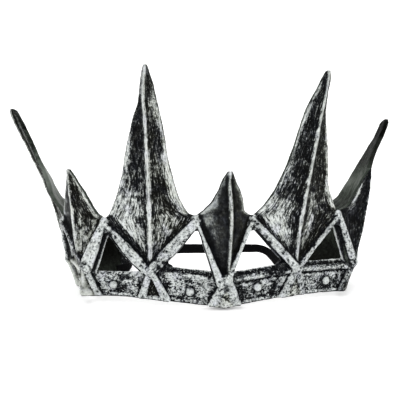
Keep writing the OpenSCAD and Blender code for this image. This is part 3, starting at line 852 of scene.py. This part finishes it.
# dark places on the struts, seen as a distance from a place on the band
for k, t, hh, r, amount in ((-0.48, 0, 36.5, 2.4, -0.6), (-0.55, 0, 33.0, 1.2, -0.5), (-1.1, 0, 20.5, 0.9, -0.6), (0.5, 0, 36, 1.8, -0.6),
                            (0.57, 0, 32, 1.9, -0.6), (0.56, 0, 28.5, 1.6, -0.6), (-0.8, 0, 20.0, 2.2, -0.6), (0.68, 0, 24.0, 1.5, -0.5), (-1.52, 0, 37, 2.2, -0.6), (1.52, 0, 38, 2.0, -0.6), (-0.88, 0, 17.5, 1.7, -0.6)):
    c = place(k, t, 3.0, hh)
    d = np.linalg.norm((P - c) * (1, 0.4, 1), axis=1)
    m = (kind == STRUT) | (kind == KNOT) | (kind == LIP)
    tone[m] += (amount * (1 - smooth(d + 0.8 * mottle, r * 0.6, r * 1.4)))[m]
on = kind == LIP
plain = np.zeros(len(P))
for p0, p1, w, k, v in STRUTS:
    if (k, v) in ((-1, -0.5), (1, 0.5), (0, -0.5), (1, 1.5), (-1, -1.5)):
        d, f = line_distance(P, p0, p1)
        plain = np.where((owner == k) & (d < w + 1.5), 1.0, plain)
tone[on] = (0.10 + 0.6 * (1 - 0.75 * plain) * smooth(np.abs(q) + 0.05 * crumb, 0.9, 0.97) + 0.1 * mottle)[on]
grit[on] = 0.6
on = kind == KNOT
tone[on] = (np.where(owner == 12, 0.34, np.where(owner == 8, 0.72, np.where(owner == 9, 0.76, 0.64))) - 0.5 * smooth(-crumb, 0.30, 0.55) + 0.12 * mottle)[on]
grit[on] = 0.9
on = kind == LEG
leg = np.where(owner == -1, 0.72, np.where(owner == 0, 0.62, np.where(owner == 1, 0.57, np.where(owner == 2, 0.22, np.where(owner == -2, 0.72, 0.6)))))
tone[on] = (leg - 0.5 * smooth(-att[:, 2], -1.2, -0.4) - 0.5 * smooth(-crumb - 0.3 * mottle, 0.30, 0.55) + 0.18 * mottle)[on]
grit[on] = 0.95
streak[on] = 0.3
stroke[on] = np.stack([q * 3, h * 0.3, owner * 5.0 + 2], -1)[on]
on = kind == FOOT
tone[on] = (0.56 - 0.4 * smooth(-crumb, 0.3, 0.6) + 0.15 * mottle)[on]
grit[on] = 1.0
on = kind == RIVET
tone[on] = (0.70 - 0.5 * smooth(q, 0.93, 1.0) - 0.3 * smooth(-crumb, 0.3, 0.6))[on]
grit[on] = 0.6
on = (kind == ROOT) | (kind == WEB)
tone[on] = 0.3
tone[(kind == ROOT) & (owner == 99)] = -0.12
inner[kind == WEB] = 0

# plates between the legs: dark and speckled, light on the middle boss
PLATE_TONE = {-3: 0.42, -2: 0.56, -1: 0.17, 0: 0.60, 1: 0.57, 2: 0.27, 3: 0.42}
for k in range(-3, 4):
    on = (kind == PLATE) & (owner == k)
    tone[on] = (PLATE_TONE[k] - 0.45 * smooth(-crumb - 0.3 * mottle, 0.35, 0.6) + 0.1 * mottle)[on]
    tint[on] = 1
    grit[on] = 1.25
    streak[on] = 0.2
    if k == 0:
        spot(on, att[:, 0], att[:, 1], 0.3, 0.60, 1.7, 0.13, -0.55)
        spot(on, att[:, 0], att[:, 1], 2.6, 0.68, 1.5, 0.06, -0.3)
    if k == 1:
        spot(on, att[:, 0], att[:, 1], -1.0, 0.35, 1.6, 0.12, -0.4)
        spot(on, att[:, 0], att[:, 1], 1.4, 0.42, 1.2, 0.1, -0.35)

# the band: rims, grooves and a brushed, blotchy panel
on = kind == BANDF
hb, along = att[:, 0], att[:, 1]
right_level = np.interp(hb, [0, 0.7, 1.0, 1.9, 2.4, 3.2, 7, 11.0, 11.9, 12.2, 13.1, 13.5, 14.6, 16.2, 16.9, 17.2, 18.4, 18.9, 19.2],
                        [0.0, 0.02, 0.46, 0.48, 0.36, 0.34, 0.38, 0.42, 0.3, 0.03, 0.03, 0.40, 0.50, 0.20, 0.08, 0.05, 0.1, 0.6, 0.6])
left_level = np.interp(hb, [0, 0.7, 1.0, 1.9, 2.4, 3.2, 7, 11.0, 12.0, 13.0, 14.2, 15.6, 16.0, 16.3, 17.2, 17.8, 18.3, 18.6, 19.2],
                       [0.0, 0.02, 0.47, 0.48, 0.48, 0.49, 0.54, 0.62, 0.66, 0.66, 0.70, 0.60, 0.3, 0.03, 0.02, 0.04, 0.2, 0.64, 0.64])
# the sill of the bay further left is worn light instead, with dashes
far_left = smooth(-along, 38, 41) * (1 - smooth(-along, 78, 80))
left_level = np.where(hb > 15.2, left_level * (1 - far_left) + (0.47 + 0.18 * smooth(-along, 58, 46) - 0.62 * smooth(mottle + crumb, -0.05, 0.2)) * far_left, left_level)
on_left = smooth(-along, -1, 4)
tone[on] = (right_level * (1 - on_left) + left_level * on_left)[on]
tone[on] += ((0.36 + 0.1 * on_left) * mottle + (0.26 + 0.1 * on_left) * crumb)[on] * (smooth(hb, 0.6, 1.2) * (1 - smooth(hb, 15.9, 16.3)))[on]
grit[on] = 1.6
streak[on] = 0.3
stroke[on] = np.stack([hb * 1.2, along * 0.4, np.full(len(hb), 77.0)], -1)[on]
# Columns: along the band, height, half length, half height, amount
BAND_SPOTS = [[-66, 12, 5, 2, 0.2], [-71, 7, 3, 4, 0.12], [-55, 12.6, 4.5, 1, -0.45], [-50, 6, 2, 4, 0.25], [-46, 9, 2.2, 4, -0.3], [-56.5, 8, 2, 3, -0.4], [-53, 10.5, 2, 1.6, 0.3],
              [-31.5, 8, 3, 5, -0.4], [-34, 14, 3, 2, -0.3], [-26, 12, 5, 1.6, 0.3], [-20, 9, 3, 3, 0.15], [-28, 4, 4, 1.5, 0.25], [-12, 10, 5, 1.6, 0.25], [-11, 4.5, 4, 2, 0.3],
              [-15, 14.6, 4, 1.5, 0.15], [-8, 5, 1.2, 2.5, -0.5], [-5, 8, 2, 3, 0.2], [-30, 17, 3, 2, -0.4],
              [9, 8, 3, 3, -0.2], [13, 4.2, 4, 1.4, 0.1], [22, 10.6, 3, 1.2, 0.35], [25, 4.5, 3, 2, 0.2], [28, 7, 1.6, 6, -0.5], [29, 16, 6, 3, -0.8],
              [33.5, 11, 2.4, 5, 0.45], [31, 4, 2, 2, 0.3], [52, 8, 6, 4, 0.18], [47, 4, 4, 2, 0.2], [45, 10, 3, 3, 0.1], [67, 10, 2, 3, 0.25], [71, 8, 1.5, 5, -0.5], [66, 15, 5, 2.6, -0.2]]
for a0, b0, ra, rb, amount in BAND_SPOTS:
    spot(on, along, hb, a0, b0, ra, rb, amount, 0.0 if abs(a0 - 31) > 5 else 0.25)
for c in RIVETS:
    d = np.linalg.norm(P - c, axis=1)
    ring = 1 - smooth(d + 0.7 * mottle + 0.5 * crumb, 2.7, 3.5)
    tone[on] = (tone * (1 - ring) + 0.04 * ring)[on]
# inside of the band: bare foam painted dark as shade, on the left darkest towards the top
on = kind == BANDB
inner[on] = 1
to_right = smooth(P[:, 0], -45, 25)
tone[on] = (0.2 * (1 - smooth(P[:, 2] - foot_level(P), 5, 17)) * (1 - to_right) + 0.14 * to_right)[on]
grit[on] = 0.5
# the far left of the band is a smooth grey-green flank
leg_top, leg_foot = crossing(-2) + UP * 0.6, beside(-2, 11.8 * 0.74, -LEAN + 0.2, 0.2)
d_leg, _ = line_distance(P, leg_top, leg_foot)
flank = (((kind == BANDF) & (along < -80) & (along > -120)) | (((kind == PLATE) | (kind == LEG) | (kind == FOOT)) & (owner == -3))
         | (np.isin(kind, (PLATE, LEG, FOOT)) & (owner == -2) & (d_leg + 0.4 * crumb > 2.3)))
tone[flank] = (0.65 + 0.12 * mottle)[flank]
grit[flank] = 0.35
tint[flank] = 1
# the lowest edge of the front is darkened to a thin near-black line
low = np.isin(kind, (FOOT, LEG, PLATE, BANDF))
tone[low] -= (0.6 * (1 - smooth(P[:, 2] - foot_level(P) + 0.25 * crumb, 0.35, 0.8)))[low]

# brushing leaves silver on what stands out and misses what lies back
painted = inner < 0.5
tone = np.where(painted, tone + np.clip(bulge_s * 1.3, -0.3, 0.14) + np.clip(bulge_l * 0.16, -0.2, 0.10), tone)
# the brush passed lightly over the darkest parts of the points
deep = painted & (kind == LEAF) & np.isin(owner, (-2, -1, 1, 2))
tone[deep] -= (0.12 * (1 - smooth(tone, 0.2, 0.46)))[deep]
tone = np.clip(tone, 0.0, 0.86)
inner = relax(inner, ED, 1, 0.5)


def put(mesh, name, values):
    values = np.asarray(values, np.float32)
    vec = values.ndim == 2
    a = mesh.attributes.new(name, "FLOAT_VECTOR" if vec else "FLOAT", "POINT")
    a.data.foreach_set("vector" if vec else "value", values.ravel())


put(me, "tone", tone)
put(me, "grit", grit)
put(me, "streak", streak)
put(me, "inner", inner)
put(me, "tint", tint)
put(me, "stroke", stroke)
put(me, "place", P)

# stand it up
raised = smooth(-P[:, 0], 34, 60) * (1 - smooth(P[:, 1], 30, 44))
P[:, 2] += 1.4 * raised * (1 - smooth(P[:, 2] - foot_level(P), 0.5, 8))
Q = stand(P)
Q[:, 2] = np.maximum(Q[:, 2], 0.00002)
me.vertices.foreach_set("co", Q.astype(np.float32).ravel())
me.polygons.foreach_set("use_smooth", np.ones(len(me.polygons), bool))
me.update()


# ----------------------------------------------------------------- materials
class Nodes:
    def __init__(self, name):
        self.mat = bpy.data.materials.new(name)
        self.mat.use_nodes = True
        self.tree = self.mat.node_tree
        self.tree.nodes.clear()

    def new(self, kind, **props):
        n = self.tree.nodes.new(kind)
        for key, value in props.items():
            setattr(n, key, value)
        return n

    def link(self, a, b):
        self.tree.links.new(a, b)

    def attribute(self, name, vector=False):
        n = self.new("ShaderNodeAttribute", attribute_name=name, attribute_type="GEOMETRY")
        return n.outputs["Vector" if vector else "Fac"]

    def math(self, op, a, b=None, c=None, clamp=False):
        n = self.new("ShaderNodeMath", operation=op, use_clamp=clamp)
        for i, x in enumerate((a, b, c)):
            if x is None:
                continue
            if isinstance(x, (int, float)):
                n.inputs[i].default_value = x
            else:
                self.link(x, n.inputs[i])
        return n.outputs[0]

    def scaled(self, vec, by):
        n = self.new("ShaderNodeVectorMath", operation="MULTIPLY")
        self.link(vec, n.inputs[0])
        n.inputs[1].default_value = by
        return n.outputs[0]

    def noise(self, vec, scale, detail=2.0, rough=0.5):
        n = self.new("ShaderNodeTexNoise")
        self.link(vec, n.inputs["Vector"])
        n.inputs["Scale"].default_value = scale
        n.inputs["Detail"].default_value = detail
        n.inputs["Roughness"].default_value = rough
        return n.outputs["Fac"]

    def ramp(self, fac, stops):
        n = self.new("ShaderNodeValToRGB")
        r = n.color_ramp
        while len(r.elements) < len(stops):
            r.elements.new(0.5)
        for e, (pos, col) in zip(r.elements, stops):
            e.position = pos
            e.color = (*col, 1) if isinstance(col, tuple) else (col, col, col, 1)
        self.link(fac, n.inputs["Fac"])
        return n.outputs["Color"]

    def mix(self, fac, a, b):
        n = self.new("ShaderNodeMix", data_type="RGBA")
        self.link(fac, n.inputs["Factor"])
        for x, name in ((a, "A"), (b, "B")):
            sock = [i for i in n.inputs if i.name == name and i.type == "RGBA"][0]
            if isinstance(x, tuple):
                sock.default_value = (*x, 1)
            else:
                self.link(x, sock)
        return [o for o in n.outputs if o.type == "RGBA"][0]


s = Nodes("antique_silver")
tone_a, grit_a, streak_a, inner_a, tint_a = (s.attribute(n) for n in ("tone", "grit", "streak", "inner", "tint"))
place_a, stroke_a = s.attribute("place", True), s.attribute("stroke", True)
centred = lambda x, by: s.math("MULTIPLY", s.math("SUBTRACT", x, 0.5), by)
brush = s.noise(stroke_a, 1.0, 3.0, 0.65)
brush_fine = s.noise(s.scaled(stroke_a, (2.3, 2.0, 1.0)), 1.0, 2.0, 0.6)
speck = s.noise(place_a, 0.85, 3.0, 0.65)
speck_fine = s.noise(place_a, 2.2, 1.0, 0.5)
blotch = s.noise(place_a, 0.17, 2.0, 0.5)
lines = s.math("ADD", centred(brush, 2.0), centred(brush_fine, 1.9))
dots = s.math("ADD", centred(speck, 2.3), centred(speck_fine, 1.1))
sway = s.math("MULTIPLY_ADD", lines, streak_a, s.math("MULTIPLY", dots, s.math("MULTIPLY_ADD", streak_a, -0.5, 1.0)))
sway = s.math("ADD", sway, centred(blotch, 0.4))
silver_level = s.math("MULTIPLY_ADD", sway, grit_a, tone_a, clamp=True)
paint = s.ramp(silver_level, [(0.0, (0.0015, 0.0018, 0.0024)), (0.22, (0.0055, 0.0066, 0.0084)), (0.34, (0.022, 0.0245, 0.027)), (0.44, (0.062, 0.068, 0.070)),
                              (0.53, (0.150, 0.163, 0.163)), (0.63, (0.258, 0.275, 0.272)), (0.78, (0.385, 0.405, 0.400)), (1.0, (0.56, 0.59, 0.58))])
warm = s.ramp(silver_level, [(0.0, (0.0022, 0.0022, 0.0015)), (0.22, (0.0078, 0.008, 0.0058)), (0.34, (0.025, 0.026, 0.020)), (0.44, (0.066, 0.069, 0.057)),
                             (0.53, (0.157, 0.166, 0.146)), (0.63, (0.265, 0.278, 0.252)), (0.78, (0.388, 0.405, 0.375)), (1.0, (0.565, 0.585, 0.55))])
cool = s.ramp(silver_level, [(0.0, (0.0015, 0.002, 0.0035)), (0.34, (0.022, 0.0245, 0.034)), (0.53, (0.155, 0.163, 0.187)), (0.78, (0.395, 0.405, 0.455)), (1.0, (0.57, 0.58, 0.65))])
hue = s.math("ADD", tint_a, centred(s.noise(place_a, 0.32, 2.0, 0.5), 1.6), clamp=True)
paint = s.mix(hue, paint, warm)
chill = s.math("MULTIPLY", s.math("SUBTRACT", s.noise(s.scaled(place_a, (1.0, 1.0, 0.7)), 0.21, 2.0, 0.5), 0.52), 7.0, clamp=True)
paint = s.mix(s.math("MULTIPLY", chill, 0.45), paint, cool)
foam_n = s.math("ADD", tone_a, s.math("MULTIPLY", s.math("ADD", centred(s.noise(place_a, 0.4, 4.0, 0.6), 0.5), centred(brush, 0.5)), grit_a), clamp=True)
foam = s.ramp(foam_n, [(0.0, (0.0018, 0.0018, 0.0015)), (0.15, (0.0075, 0.0085, 0.0068)), (0.3, (0.028, 0.034, 0.027)), (0.5, (0.085, 0.095, 0.082)), (0.7, (0.16, 0.175, 0.155)), (1.0, (0.3, 0.32, 0.3))])
color = s.mix(inner_a, paint, foam)
bsdf = s.new("ShaderNodeBsdfPrincipled")
s.link(color, bsdf.inputs["Base Color"])
shine = s.math("MULTIPLY_ADD", silver_level, -0.12, 0.52)
shine = s.math("MULTIPLY_ADD", centred(speck, 0.3), 1.0, shine)
s.link(shine, bsdf.inputs["Roughness"])
gloss = s.math("MULTIPLY_ADD", silver_level, 0.36, 0.03)
s.link(s.math("MULTIPLY", gloss, s.math("MULTIPLY_ADD", inner_a, -0.7, 1.0)), bsdf.inputs["Specular IOR Level"])
bsdf.inputs["Metallic"].default_value = 0.0
relief = s.math("MULTIPLY_ADD", silver_level, 0.6, s.math("MULTIPLY", speck, 0.5))
relief = s.math("MULTIPLY_ADD", brush_fine, 0.4, relief)
bump = s.new("ShaderNodeBump")
bump.inputs["Strength"].default_value = 0.6
bump.inputs["Distance"].default_value = 0.0003
s.link(relief, bump.inputs["Height"])
s.link(bump.outputs["Normal"], bsdf.inputs["Normal"])
out = s.new("ShaderNodeOutputMaterial")
s.link(bsdf.outputs[0], out.inputs["Surface"])
me.materials.clear()
me.materials.append(s.mat)
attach(crown, "root")
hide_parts("crown_moulding")

# --------------------------------------------------------------------- strap
def fixed_end(k):
    return place(k, 0, float(lean(4.3)) - WALL - STRAP_T / 2 - 1.7, 4.3)


route = [fixed_end(3.72), fixed_end(3.96), (50.4, 71.2, 11.9), (49.4, 76.8, 14.3), (47.4, 83.4, 17.9),
         (44.2, 87.6, 20.2), (40.5, 89.2, 21.0), (36, STRAP_Y, STRAP_Z), (0, STRAP_Y, STRAP_Z)]
route = [np.array(p, float) for p in route]
route = route + [p * (-1, 1, 1) - (2.0 * float(smooth(p[1], 69, 72) * (1 - smooth(p[1], 83, 88))), 0, 0) for p in route[-2::-1]]


def spline(points, step):
    pts = [2 * points[0] - points[1]] + list(points) + [2 * points[-1] - points[-2]]
    out = []
    for a, b, c, d in zip(pts, pts[1:], pts[2:], pts[3:]):
        count = max(2, int(np.linalg.norm(c - b) / step))
        for f in np.arange(count) / count:
            ta, tb = (c - a) * 0.5, (d - b) * 0.5
            la = np.linalg.norm(c - b)
            ta, tb = unit(ta) * la, unit(tb) * la
            out.append((2 * f ** 3 - 3 * f ** 2 + 1) * b + (f ** 3 - 2 * f ** 2 + f) * ta
                       + (3 * f ** 2 - 2 * f ** 3) * c + (f ** 3 - f ** 2) * tb)
    return np.array(out + [points[-1]])


line = spline(route, 0.45)
run = np.concatenate([[0], np.cumsum(np.linalg.norm(np.diff(line, axis=0), axis=1))])
half_w, half_t = STRAP_W / 2, STRAP_T / 2
xs = np.linspace(-1, 1, 29)
sec = [(x, 1) for x in xs] + [(1.0, 0.0)] + [(x, -1) for x in xs[::-1]] + [(-1.0, 0.0)]
verts, weave = [], []
for j, p in enumerate(line):
    d = unit(line[min(j + 1, len(line) - 1)] - line[max(j - 1, 0)])
    v = unit(np.cross([0, 0, 1], d))
    u = np.cross(d, v)
    # turned towards the top where it comes down to the ends of the band
    turn = -44 * smooth(p[1], 68.5, 74.0) * (1 - smooth(p[1], 83.0, 89.2))
    u, v = u * cosd(turn) + v * sind(turn), v * cosd(turn) - u * sind(turn)
    wob = 0.05 * math.sin(run[j] * 0.7) + 0.04 * math.sin(run[j] * 0.23)
    # worn wider along its upper edge, most towards the left
    slack = float(np.interp(p[0], [-42, -34, -22, 20, 34, 42], [0, 1.0, 1.2, 0.7, 0.4, 0]))
    for x, z in sec:
        cord = 0.055 * math.cos(x * 11 * math.pi)          # lengthways cords
        rib = 0.03 * math.sin(run[j] * 2 * math.pi / 1.1 + (x * 11 % 2 > 1) * math.pi)
        thick = half_t * (0.93 - 0.30 * max(0, abs(x) - 0.86) / 0.14) + (cord + rib if z else 0)
        verts.append(p + u * (x * half_w * 0.985 + wob + slack * (x + 1) / 2) + v * z * thick)
        weave.append((x * half_w, run[j], z))
verts = np.array(verts)
m = len(sec)
idx = np.arange(len(line) * m).reshape(len(line), m)
nxt = np.roll(idx, -1, axis=1)
quads = np.stack([idx[:-1], nxt[:-1], nxt[1:], idx[1:]], -1).reshape(-1, 4)
sm = bpy.data.meshes.new("strap")
faces = [tuple(int(i) for i in f) for f in quads] + [tuple(int(i) for i in idx[0][::-1]), tuple(int(i) for i in idx[-1])]
sm.from_pydata([tuple(p) for p in stand(verts)], [], faces)
sm.validate()
put(sm, "weave", np.array(weave))
sm.polygons.foreach_set("use_smooth", np.ones(len(sm.polygons), bool))
strap = bpy.data.objects.new("strap", sm)
bpy.context.scene.collection.objects.link(strap)

s = Nodes("black_elastic")
w = s.attribute("weave", True)
sep = s.new("ShaderNodeSeparateXYZ")
s.link(w, sep.inputs[0])
cords = s.math("SINE", s.math("MULTIPLY", sep.outputs[0], 24.0))
picks = s.math("SINE", s.math("MULTIPLY_ADD", sep.outputs[1], 11.4, s.math("MULTIPLY", sep.outputs[0], 12.0)))
cloth = s.math("MULTIPLY_ADD", s.math("MULTIPLY", cords, picks), 0.25, s.math("MULTIPLY_ADD", cords, 0.2, 0.5))
fuzz = s.noise(w, 3.0, 3.0, 0.6)
level = s.math("MULTIPLY_ADD", s.math("SUBTRACT", fuzz, 0.5), 0.5, cloth, clamp=True)
col = s.ramp(level, [(0.0, (0.0012, 0.0012, 0.0014)), (0.6, (0.0028, 0.0028, 0.0032)), (1.0, (0.0075, 0.0075, 0.0085))])
bsdf = s.new("ShaderNodeBsdfPrincipled")
s.link(col, bsdf.inputs["Base Color"])
s.link(s.math("MULTIPLY_ADD", level, -0.15, 0.88), bsdf.inputs["Roughness"])
bsdf.inputs["Specular IOR Level"].default_value = 0.05
bump = s.new("ShaderNodeBump")
bump.inputs["Strength"].default_value = 0.8
bump.inputs["Distance"].default_value = 0.0002
s.link(level, bump.inputs["Height"])
s.link(bump.outputs["Normal"], bsdf.inputs["Normal"])
out = s.new("ShaderNodeOutputMaterial")
s.link(bsdf.outputs[0], out.inputs["Surface"])
sm.materials.append(s.mat)
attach(strap, "root")
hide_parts("elastic_strap")

# --------------------------------------------------------- floor and backdrop
rows = [(-1.6, 0.0), (1.1, 0.0)]
for a in range(6, 91, 6):
    rows.append((1.1 + 0.5 * sind(a), 0.5 - 0.5 * cosd(a)))
rows.append((1.6, 2.4))
fv = [(x, y, z) for y, z in rows for x in (-3.0, 3.0)]
ff = [(2 * j, 2 * j + 1, 2 * j + 3, 2 * j + 2) for j in range(len(rows) - 1)]
fm = bpy.data.meshes.new("floor")
fm.from_pydata(fv, [], ff)
fm.polygons.foreach_set("use_smooth", np.ones(len(ff), bool))
floor = bpy.data.objects.new("floor", fm)
bpy.context.scene.collection.objects.link(floor)
s = Nodes("pale_floor")
co = s.new("ShaderNodeTexCoord").outputs["Object"]
fl = s.ramp(s.noise(co, 6.0, 3.0, 0.5), [(0.3, (0.90, 0.90, 0.90)), (0.7, (0.93, 0.93, 0.93))])
bsdf = s.new("ShaderNodeBsdfPrincipled")
s.link(fl, bsdf.inputs["Base Color"])
bsdf.inputs["Roughness"].default_value = 0.9
bsdf.inputs["Specular IOR Level"].default_value = 0.1
bsdf.inputs["Emission Color"].default_value = (1, 1, 1, 1)
bsdf.inputs["Emission Strength"].default_value = 0.25
out = s.new("ShaderNodeOutputMaterial")
s.link(bsdf.outputs[0], out.inputs["Surface"])
fm.materials.append(s.mat)

# ----------------------------------------------------------- light and camera
world = bpy.data.worlds.new("studio")
bpy.context.scene.world = world
world.use_nodes = True
world.node_tree.nodes["Background"].inputs["Color"].default_value = (1.0, 1.0, 1.0, 1)
world.node_tree.nodes["Background"].inputs["Strength"].default_value = 0.85


def area(name, at, to, size, power):
    d = bpy.data.lights.new(name, "AREA")
    d.shape = "RECTANGLE"
    d.size, d.size_y = size
    d.energy = power
    o = bpy.data.objects.new(name, d)
    bpy.context.scene.collection.objects.link(o)
    o.location = at
    o.rotation_euler = (Vector(to) - Vector(at)).to_track_quat("-Z", "Y").to_euler()
    return o


area("key", (-0.75, -0.95, 1.15), (0, 0, 0.05), (0.8, 0.8), 11.0)
area("fill", (0.95, -0.7, 0.7), (0, 0, 0.05), (0.9, 0.9), 4.0)
area("back", (0.1, 1.0, 1.3), (0, 0.2, 0.0), (1.4, 0.9), 9.0)

cam_data = bpy.data.cameras.new("camera")
cam = bpy.data.objects.new("camera", cam_data)
bpy.context.scene.collection.objects.link(cam)
forward = unit((0.1325, 0.97876, -0.15641))
right = unit(np.cross(forward, (0.00232, 0.1575, 0.98752)))
up = np.cross(right, forward)
cam.matrix_world = Matrix([[right[i], up[i], -forward[i], (-0.04627, -0.27583, 0.09718)[i]] for i in range(3)] + [[0, 0, 0, 1]])
cam_data.sensor_width = 36.0
cam_data.lens = 42.446
cam_data.clip_start = 0.01
cam_data.clip_end = 20.0
bpy.context.scene.camera = cam
bpy.context.scene.view_settings.view_transform = "Standard"
bpy.context.scene.view_settings.look = "None"
bpy.context.scene.view_settings.exposure = 0.0
bpy.context.scene.view_settings.gamma = 1.0
